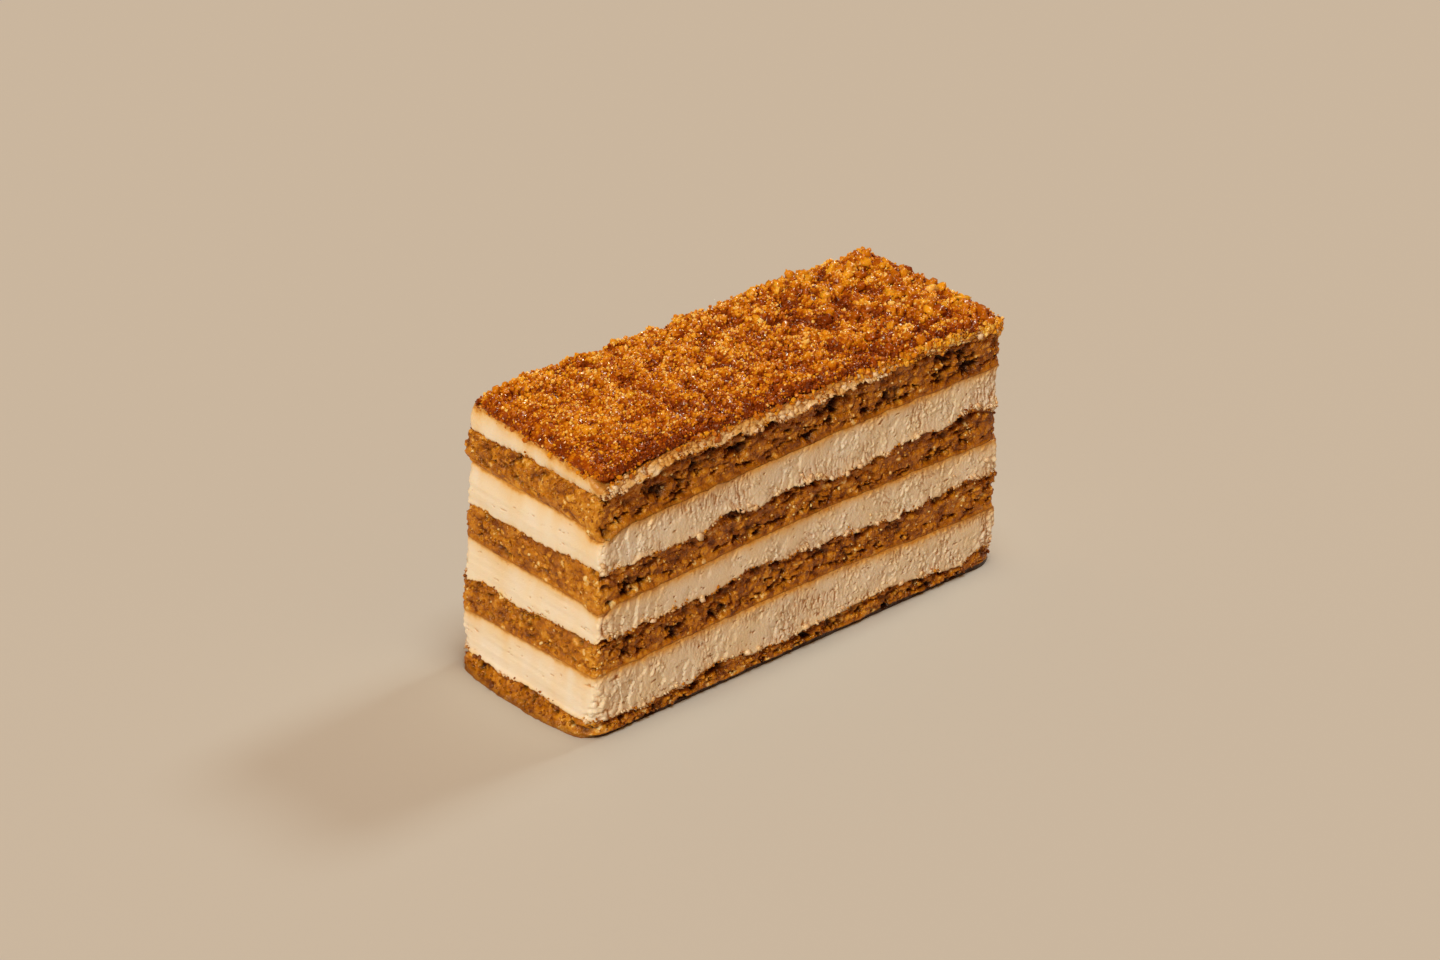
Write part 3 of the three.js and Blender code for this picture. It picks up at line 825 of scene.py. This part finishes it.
COAT_TOP = 8
BED_TOP = 9
BED_SWELL = 0.35
BED_WAVELENGTH = 11.0
BED_HALF_LENGTH = TOP_LENGTH / 2 + 0.3
BED_HALF_WIDTH = TOP_WIDTH / 2 - 0.3
BED_PITCH = 0.32
BED_FOOT = 0.15  # how far the bed reaches down into the coat
BED_LEAST = 0.3  # its thickness in the deepest gaps
BED_GRAIN = 0.85
BED_GRAIN_DEPTH = 0.35
RIM_ROUND = 1.5
RIM_DROP = 1.0
RIM_WANDER = 2.2
RIM_PULL = 1.4  # how far the rim stays behind the coat where the coat shows
CLUMP_SIZE = 2.6
CLUMP_DROP = 1.8
CLUMP_STEP = 1.1  # how much lower one clump may lie than the next
HOLLOW_DROP = 0.8
SYRUP_REACH = 3.0
STUCK_COUNT = 16
STUCK_MARGIN = 3.0
STUCK_RADIUS = 1.2
STUCK_HEIGHT = 0.7

CRUMB_FINISH = moist_finish(0.3, (1.0, 0.4, 0.08), 0.6, 0.4, HONEY_GLINT)
CRUMB_SHADES = [
    # lightness, and the colour there: red-brown, brown, amber, gold, pale
    (0.0, shade(100, 32, 0)),
    (0.28, shade(160, 69, 0)),
    (0.54, shade(208, 122, 8)),
    (0.8, shade(240, 168, 32)),
    (1.0, shade(252, 214, 130)),
]


def crumb_material():
    """Baked crumbs from red-brown through amber to pale, each its own shade, with painted shade in the
    bed's hollows, moist enough to glint.
    """
    material, place = new_material("baked_crumb", CRUMB_FINISH)
    fine = place.noise(0.3, 2.0)
    lightness = place.attribute("tint") * 0.85 + 0.15 * fine
    set_shader(material, base_color=lightness.colours(CRUMB_SHADES), roughness=0.14 + 0.3 * fine)
    return material


def bed_height(x, y):
    """The bed's even top: its seam, a slow swell, and bell-shaped stuck lumps spread by irrational steps."""
    height = seam_height(BED_TOP, x, y) + BED_SWELL * ripple(x, y, BED_TOP, BED_WAVELENGTH)
    for index in range(STUCK_COUNT):
        lump_x = ((0.7549 * index + 0.21) % 1 - 0.5) * (TOP_LENGTH - 2 * STUCK_MARGIN)
        lump_y = ((0.5698 * index + 0.43) % 1 - 0.5) * (TOP_WIDTH - 2 * STUCK_MARGIN)
        away = (x - lump_x) ** 2 + (y - lump_y) ** 2
        height = height + STUCK_HEIGHT * np.exp(-away / STUCK_RADIUS**2)
    return height


def on_plan(x, y):
    """Places on the plan, at no height."""
    return np.stack([x, y, 0 * x], axis=-1)


def bed_relief(x, y):
    """How far the bed sinks between its clumps of crumbs: the squared distance from the nearest clump's
    middle, a step for each clump and soft hollows, all pressed flatter towards the left. Gives the depth and
    a draw of the clump's own."""
    plan = on_plan(x, y)
    warp = stray(plan, 1.5, 1630) * [1, 1, 0]
    clump, _, own = grain_noise(plan + 1.8 * warp, CLUMP_SIZE, 1610)
    hollow = ramp(0.5, 0.8, soft_noise(plan + warp, 2.4, 1640))
    sunk = CLUMP_DROP * np.minimum(clump, 1) ** 2 + CLUMP_STEP * (own - 0.5) + HOLLOW_DROP * hollow
    return sunk * (0.5 + 0.5 * ramp(-45, 20, x)), own


def rim_drop(x, y):
    """How far the bed falls off towards its rim: by the square of the way from where its rounding starts."""
    to_edge = np.minimum(BED_HALF_LENGTH - np.abs(x), BED_HALF_WIDTH - np.abs(y))
    return RIM_DROP * np.clip(1 - to_edge / RIM_ROUND, 0, 1) ** 2


def pulled_in(x, y):
    """Moves places in from the bed's long rims where the coat shows, by the ninth power of their share."""
    share = y / BED_HALF_WIDTH
    return y - RIM_PULL * (1 - ramp(*COAT_FADE, x)) * np.clip(share, -1, 1) ** 9


def coat_height(x, y):
    """The coat's top under the bed: its seam, less its drips."""
    return seam_height(COAT_TOP, x, y) - seam_drip(COAT_TOP, x, y)


def bed_surface(x, y):
    """The bed's top with its clumps and its rim, at least a little over the coat."""
    height = bed_height(x, y) - rim_drop(x, y) - bed_relief(x, y)[0]
    return np.maximum(height, coat_height(x, y) + BED_LEAST)


def syrup(x):
    """How far syrup has soaked the bed at the left end, from 1 at its rim."""
    return bell(np.maximum(x + BED_HALF_LENGTH, 0), SYRUP_REACH)


def bed_tint(x, y):
    """A place's shade from red 0 to pale 1: lighter on its clumps and darker between them, by each clump's
    own tone and by painted light and shade, in patches, redder along the near edge, most at the left, and the
    ends, and golder towards the right and the far side."""
    plan = on_plan(x, y)
    sunk, own = bed_relief(x, y)
    patches = 0.15 * (soft_noise(plan, 9.0, 1601) - 0.5) + 0.4 * (soft_noise(plan, 1.6, 1603) - 0.5)
    near_end = np.exp(-np.maximum(BED_HALF_LENGTH - np.abs(x), 0) / 5.0)
    near_side = np.exp(-(y + BED_HALF_WIDTH) / 3.4) * (1 - 0.65 * ramp(-10, 40, x))
    near_edge = np.minimum(near_side + 0.4 * syrup(x) + 0.25 * near_end, 0.8)
    lighter = 0.1 * x / TOP_LENGTH + 0.1 * y / TOP_WIDTH
    return 0.52 + patches + 0.2 * (own - 0.5) - 0.42 * (sunk - 0.5) - 0.5 * near_edge + lighter


CRUMB = crumb_material()
halves = (BED_HALF_LENGTH, BED_HALF_WIDTH)
bed_lines = [np.linspace(-1, 1, round(2 * half / BED_PITCH) + 1) for half in halves]
share_x, share_y = np.meshgrid(*bed_lines, indexing="ij")
bed_x = share_x * BED_HALF_LENGTH
bed_y = share_y * BED_HALF_WIDTH
plan = on_plan(bed_x, bed_y)
grain, _, grain_own = grain_noise(plan, BED_GRAIN, 1620)
grains = (1 - 0.3 * syrup(bed_x)) * grain**2
bed_z = bed_surface(bed_x, bed_y) - BED_GRAIN_DEPTH * grains
wander = RIM_WANDER * (rough_noise(plan, 3.0, 1602) - 0.5)
corner_pull = 1 - 0.02 * np.abs(share_x) ** 40 * np.abs(share_y) ** 12
shifted_x = bed_x * corner_pull + wander * share_x**9 * (1 - 0.6 * syrup(bed_x))
shifted_y = pulled_in(bed_x, bed_y) * corner_pull + wander * share_y**9
bed_points = np.stack([shifted_x, shifted_y, bed_z], axis=-1).reshape(-1, 3)
index = np.arange(share_x.size).reshape(share_x.shape)
bed_corners = [index[:-1, :-1], index[1:, :-1], index[1:, 1:], index[:-1, 1:]]
bed_quads = np.stack(bed_corners, axis=-1).reshape(-1, 4)
rim = np.concatenate([index[:-1, 0], index[-1, :-1], index[:0:-1, -1], index[0, :0:-1]])
foot_points = bed_points[rim] * [0.997, 0.995, 0]
foot_points[:, 2] = coat_height(foot_points[:, 0], foot_points[:, 1]) - BED_FOOT
foot = len(bed_points) + np.arange(len(rim))
rim_quads = np.stack([foot, np.roll(foot, -1), np.roll(rim, -1), rim], axis=-1)
middle = np.full(len(rim), len(bed_points) + len(rim))
floor_fan = np.stack([np.roll(foot, -1), foot, middle], axis=-1)
all_points = np.concatenate([bed_points, foot_points, foot_points.mean(axis=0)[None]])
# Painted shade: darker where the bed dips between its grains.
bed_shade = bed_tint(bed_x, bed_y) - 0.15 + 0.15 * syrup(bed_x) + 0.3 * (grain_own - 0.5) - 0.35 * grains
foot_shade = np.append(bed_shade.ravel()[rim] + 0.2, 0.5)
tints = np.clip(np.concatenate([bed_shade.ravel(), foot_shade]), 0, 1)
all_quads = np.concatenate([bed_quads, rim_quads])
make_piece("crumb_bed", all_points, all_quads, floor_fan, {"tint": tints}, CRUMB, "crumb", ["crumb_topping"])

# Crumbs on the bed
# Loose crumbs of the same crushed sponge that have stuck to the bed: fine ones everywhere in three shades,
# coarser ones between them, and one dark burnt lump near the front edge.

FINE_CRUMBS = [
    # name, spacing, least radius, spread of the radius, how much lighter than the bed
    ("brown_crumbs", 0.95, 0.2, 0.3, -0.12),
    ("golden_crumbs", 0.9, 0.2, 0.28, 0.12),
    ("pale_crumbs", 1.0, 0.18, 0.24, 0.42),
]
COARSE_COUNT = 1500
COARSE_RADIUS = 0.4
COARSE_SPREAD = 0.4
BURNT_LUMP = (-27.4, -16.5, 1.1)  # place along and across the slice, radius


def crumb_shape(subdivisions):
    """A ball's corners and triangles: 20 equal ones, each cut in four for every subdivision after one."""
    ball = bmesh.new()
    bmesh.ops.create_icosphere(ball, subdivisions=subdivisions, radius=1)
    corners = np.array([vertex.co for vertex in ball.verts])
    triangles = np.array([[vertex.index for vertex in face.verts] for face in ball.faces])
    ball.free()
    return corners, triangles


def random_turns(count, draw):
    """Even random turns: unit quaternions from normal draws, written out as matrices."""
    quaternion = draw.normal(size=(4, count))
    w, x, y, z = quaternion / np.linalg.norm(quaternion, axis=0)
    rows = [
        [1 - 2 * (y * y + z * z), 2 * (x * y - z * w), 2 * (x * z + y * w)],
        [2 * (x * y + z * w), 1 - 2 * (x * x + z * z), 2 * (y * z - x * w)],
        [2 * (x * z - y * w), 2 * (y * z + x * w), 1 - 2 * (x * x + y * y)],
    ]
    return np.moveaxis(np.array(rows), -1, 0)


def make_crumbs(name, middles, radii, values, subdivisions, draw, material, slot, flat=True, uneven=1.0):
    """Crumbs as one piece: the ball's corners pushed in or out by a draw, stretched, turned and set at each
    middle. How far they are pushed and stretched grows with how uneven they are."""
    corners, triangles = crumb_shape(subdivisions)
    count = len(middles)
    reach = 1 + uneven * draw.uniform(-0.35, 0.25, (count, len(corners), 1))
    stretch = 1 + uneven * draw.uniform(-0.3, 0.3, (count, 1, 3))
    local = corners * reach * stretch * radii[:, None, None]
    points = np.einsum("nij,nkj->nki", random_turns(count, draw), local) + middles[:, None]
    faces = (triangles + len(corners) * np.arange(count)[:, None, None]).reshape(-1, 3)
    attributes = {key: np.repeat(np.clip(value, 0, 1), len(corners)) for key, value in values.items()}
    nothing = np.zeros((0, 4), int)
    make_piece(name, points.reshape(-1, 3), nothing, faces, attributes, material, slot, flat=flat)


def on_the_bed(x, y, radii, sunk):
    """Middles of crumbs that lie on the bed, sunk in by a share of their size, and further in the syrup."""
    soaked = sunk + 0.1 * syrup(x)
    height = bed_surface(x, y) - 0.15 + radii * (1 - 2 * soaked)
    return np.stack([x, pulled_in(x, y), height], axis=-1)


draw = np.random.default_rng(7)
for name, spacing, least, spread, lighter in FINE_CRUMBS:
    row_x = np.arange(-BED_HALF_LENGTH, BED_HALF_LENGTH, spacing)
    row_y = np.arange(-BED_HALF_WIDTH, BED_HALF_WIDTH, spacing)
    x, y = (axis.ravel() for axis in np.meshgrid(row_x, row_y))
    x = x + draw.uniform(-0.6, 0.6, x.size) * spacing
    y = y + draw.uniform(-0.6, 0.6, y.size) * spacing
    radii = least + spread * draw.random(x.size) ** 2
    # The crumbs take the bed's tint, with its painted shade between the clumps.
    tints = bed_tint(x, y) + lighter + 0.4 * (draw.random(x.size) - 0.5)
    middles = on_the_bed(x, y, radii, draw.uniform(0.1, 0.6, x.size))
    make_crumbs(name, middles, radii, {"tint": tints}, 1, draw, CRUMB, "crumb")

x = draw.uniform(-BED_HALF_LENGTH, BED_HALF_LENGTH, COARSE_COUNT)
y = draw.uniform(-BED_HALF_WIDTH, BED_HALF_WIDTH, COARSE_COUNT)
radii = COARSE_RADIUS + COARSE_SPREAD * draw.random(COARSE_COUNT) ** 2.5
radii *= 1 + 0.5 * ramp(0, 50, x)
# The coarse crumbs take the bed's tint too, painted shade included.
tints = bed_tint(x, y) + 0.4 * (draw.random(COARSE_COUNT) - 0.5)
x[0], y[0], radii[0] = BURNT_LUMP
tints[0] = 0.0
middles = on_the_bed(x, y, radii, draw.uniform(0.3, 0.6, COARSE_COUNT))
coarse = {"tint": tints}
make_crumbs("coarse_crumbs", middles, radii, coarse, 2, draw, CRUMB, "crumb", flat=False, uneven=1.5)

# Crumbs over the coat
# Crumbs that rolled over the rim and stuck to the coat's edge in clumps: few at the left, and at the right so
# many that they hide it. At the two ends only the rim's own line of crumbs hangs over.

SPILLED_COUNT = 4500
SPILLED_RADIUS = 0.2
SPILLED_SPREAD = 0.55
SPILLED_HEAP = 0.45  # how far the clumps stand out from the coat


def spilled_crumbs(count, draw):
    """Places on the coat's wall, in clumps, more of them high up, on the long sides and towards the right."""
    high = np.linspace(0, 1, len(coat_wall))[:, None]
    clumped = ramp(0.42, 0.7, rough_noise(coat_wall * [1, 1, 0.5], 3.4, 1710))
    hiding = ramp(*COAT_FADE, coat_wall[..., 0])
    side = ON_SIDE * (0.05 + hiding) * high ** (2.5 - 1.5 * hiding)
    rim = 0.06 * ramp(0.75, 1.0, high)
    chance = (side + rim) * (0.08 + clumped)
    chosen = draw.choice(chance.size, count, p=(chance / chance.sum()).ravel())
    outward = np.broadcast_to(np.append(OUTWARD, 0 * OUTWARD[:, :1], axis=1), coat_wall.shape)
    heap = SPILLED_HEAP * (clumped * hiding * ON_SIDE).ravel()[chosen] * draw.random(count)
    places = coat_wall.reshape(-1, 3)[chosen] + outward.reshape(-1, 3)[chosen] * heap[:, None]
    return places + draw.normal(0, [0.15, 0.15, 0.35], (count, 3))


places = spilled_crumbs(SPILLED_COUNT, draw)
radii = SPILLED_RADIUS + SPILLED_SPREAD * draw.random(SPILLED_COUNT) ** 4
tints = 0.3 + 0.5 * draw.random(SPILLED_COUNT) + 0.25 * ramp(*COAT_FADE, places[:, 0])
make_crumbs("spilled_crumbs", places, radii, {"tint": tints}, 1, draw, CRUMB, "crumb")

# Curds along the torn edges
# Curds of the same cream that the knife tore off along the foot of the fillings and the coat. They hang over
# the sponge of the long sides in clumps, and most of them at the corners.

CURD_COUNT = 1500
CURD_RADIUS = 0.16
CURD_SPREAD = 0.6
CURD_FOOT = 0.5  # how far up from the foot most of them lie
CURD_SCATTER = 0.12


def foot_places(count, reach, at_ends, scatter, seed, draw):
    """Places near the foot of the cream, scattered a little, in clumps along the long sides, and at the ends
    by a share. Their chance falls by the exponent of the height over the foot, and is five times as high at
    the corners."""
    walls = np.concatenate([wall.reshape(-1, 3) for wall, _ in cream_feet])
    heights = np.concatenate([above.ravel() for _, above in cream_feet])
    sides = np.concatenate([np.broadcast_to(TORN, above.shape).ravel() for _, above in cream_feet])
    clumped = ramp(0.4, 0.7, soft_noise(walls, 2.2, seed))
    chance = (at_ends + (1 - at_ends) * sides) * np.exp(-heights / reach)
    chance = chance * (0.05 + clumped) * (1 + 4 * near_corner(walls))
    chosen = draw.choice(len(walls), count, p=chance / chance.sum())
    return walls[chosen] + draw.normal(0, scatter, (count, 3))


places = foot_places(CURD_COUNT, CURD_FOOT, 0.0, CURD_SCATTER, 1910, draw)
radii = CURD_RADIUS + CURD_SPREAD * draw.random(CURD_COUNT) ** 3
stains = 0.15 + 0.45 * draw.random(CURD_COUNT)
# Some curds get part of the cream's painted pit shade, at random.
curds = {"stain": stains, "pit": 0.5 * draw.random(CURD_COUNT)}
make_crumbs("cream_curds", places, radii, curds, 1, draw, CREAM, "cream", flat=False, uneven=1.7)

# Crumbs on the cut sides
# Crumbs that the knife pulled loose. They cling to the torn sponge by its syrup, larger on the lowest sheet,
# and some were dragged on the foot of the cream.

CLINGING_COUNT = 6000
CLINGING_RADIUS = 0.14
CLINGING_SPREAD = 0.3
CLINGING_ROWS = slice(8, -1)  # above the skin of each sheet
CLINGING_SHADE_LIMIT = 0.9  # none in the darkest gaps and under the slice, counted by the crumb's painted shade
CLINGING_SIDE = 17.0  # further out than this across the slice is a long side, where more are pale
LOWEST_HEIGHT = 4.0  # below this they are larger and darker
LOWEST_SWELL = 0.4
DRAGGED_COUNT = 1800
DRAGGED_FOOT = 0.22
DRAGGED_ENDS = 0.08  # their share at the ends
DRAGGED_SCATTER = 0.1

points = np.concatenate([wall[CLINGING_ROWS].reshape(-1, 3) for wall, _ in sponge_walls])
painted_wall_shades = np.concatenate([painted_shade[CLINGING_ROWS].ravel() for _, painted_shade in sponge_walls])
chosen = draw.choice(np.flatnonzero(painted_wall_shades < CLINGING_SHADE_LIMIT), CLINGING_COUNT, replace=False)
places = points[chosen]
radii = CLINGING_RADIUS + CLINGING_SPREAD * draw.random(CLINGING_COUNT) ** 2
lowest = places[:, 2] < LOWEST_HEIGHT
radii *= 1 + LOWEST_SWELL * lowest
places[:, 2] = np.maximum(places[:, 2], radii * 1.3)
on_long_side = np.abs(places[:, 1]) > CLINGING_SIDE
lightness = draw.random(CLINGING_COUNT)
tints = 0.3 + np.where(on_long_side, 0.55 * lightness**3, 0.5 * lightness**4)
tints = np.where(lowest, 0.75 * tints, tints)
# The crumbs take on most of the painted shade of the sponge under them.
clinging = {"tint": tints, "depth": 0.8 * painted_wall_shades[chosen], "skin": 0 * tints}
make_crumbs("clinging_crumbs", places, radii, clinging, 1, draw, SPONGE, "sponge", flat=False)

places = foot_places(DRAGGED_COUNT, DRAGGED_FOOT, DRAGGED_ENDS, DRAGGED_SCATTER, 1920, draw)
radii = CLINGING_RADIUS + CLINGING_SPREAD * draw.random(DRAGGED_COUNT) ** 2
tints = 0.25 + 0.3 * draw.random(DRAGGED_COUNT)
dragged = {"tint": tints, "depth": 0 * tints, "skin": 0 * tints}
make_crumbs("dragged_crumbs", places, radii, dragged, 1, draw, SPONGE, "sponge", flat=False)

# Floor, light and camera
# A plain pale floor that runs out of sight, and the warm light of the room. Two soft lights fall on the
# slice, from the front left and from behind on the right, and two on the floor, of which the lower one throws
# the shadow. The camera stands where the slice shows its left end and its near long side.

FLOOR_COLOUR = shade(223, 225, 216)
ROOM_COLOUR = (1.0, 0.42, 0.1, 1.0)
ROOM_LIGHT = 0.36
LIGHT_COLOUR = (0.94, 1.0, 0.98)
LIGHTS = [
    # name, direction that it comes from, strength, how wide it is in degrees, what it lights
    ("front_left_light", (-0.76, -0.24, 0.62), 2.5, 10, "cake"),
    ("back_right_light", (0.7, 0.2, 0.65), 1.5, 10, "cake"),
    ("overhead_light", (-0.05, -0.12, 1.0), 1.1, 25, "floor"),
    ("shadow_light", (0.75, 0.0, 0.65), 0.6, 12, "floor"),
]
FLOOR_HALF = 6.0
VIEW_TURN = math.radians(-44.16)
VIEW_RISE = math.radians(28.68)
VIEW_ROLL = math.radians(2.5)
VIEW_DISTANCE = 949.5
VIEW_CORNER = (-56.0, -20.4, 0.0)  # the slice's near lower corner
VIEW_RIGHT = 24.48  # how far the picture's middle lies to the right of it
VIEW_OVER = 51.55  # and over it
LENS = 120.0
SENSOR = 36.0

floor_corners = FLOOR_HALF * np.array([[-1, -1, 0], [1, -1, 0], [1, 1, 0], [-1, 1, 0]], float)
floor_mesh = bpy.data.meshes.new("floor")
floor_mesh.from_pydata(floor_corners.tolist(), [], [[0, 1, 2, 3]])
floor = bpy.data.objects.new("floor", floor_mesh)
scene = bpy.context.scene
scene.collection.objects.link(floor)
floor_finish = {"Roughness": 0.9, "Specular IOR Level": 0.1, "Base Color": FLOOR_COLOUR}
floor_mesh.materials.append(new_material("floor", floor_finish)[0])
floor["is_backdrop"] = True

world = bpy.data.worlds.new("room")
world.use_nodes = True
world.node_tree.nodes["Background"].inputs["Color"].default_value = ROOM_COLOUR
world.node_tree.nodes["Background"].inputs["Strength"].default_value = ROOM_LIGHT
scene.world = world
scene.view_settings.view_transform = "Standard"


def facing(back):
    """A turn whose third axis points back along a direction, and whose second leans upwards."""
    third = np.asarray(back, float) / np.linalg.norm(back)
    first = np.cross((0, 0, 1), third)
    first /= np.linalg.norm(first)
    return np.stack([first, np.cross(third, first), third], axis=-1)


def placed(turn, place=(0, 0, 0)):
    """A turn and a place as one matrix."""
    whole = Matrix(turn.tolist()).to_4x4()
    whole.translation = place
    return whole


lit = {}
for target, pieces in {"cake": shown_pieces(), "floor": [floor]}.items():
    lit[target] = bpy.data.collections.new(f"lit_{target}")
    for piece in pieces:
        lit[target].objects.link(piece)
for name, direction, strength, width, target in LIGHTS:
    lamp = bpy.data.lights.new(name, "SUN")
    lamp.energy = strength
    lamp.angle = math.radians(width)
    lamp.color = LIGHT_COLOUR
    holder = bpy.data.objects.new(name, lamp)
    holder.matrix_world = placed(facing(direction))
    holder.light_linking.receiver_collection = lit[target]
    scene.collection.objects.link(holder)

level = math.cos(VIEW_RISE)
back = (math.sin(VIEW_TURN) * level, -math.cos(VIEW_TURN) * level, math.sin(VIEW_RISE))
cosine = math.cos(VIEW_ROLL)
sine = math.sin(VIEW_ROLL)
turned = facing(back) @ [[cosine, -sine, 0], [sine, cosine, 0], [0, 0, 1]]
lens = bpy.data.cameras.new("camera")
lens.lens = LENS
lens.sensor_width = SENSOR
camera = bpy.data.objects.new("camera", lens)
spot = np.array(VIEW_CORNER) + turned @ [VIEW_RIGHT, VIEW_OVER, VIEW_DISTANCE]
camera.matrix_world = placed(turned, (spot * MM).tolist())
scene.collection.objects.link(camera)
scene.camera = camera
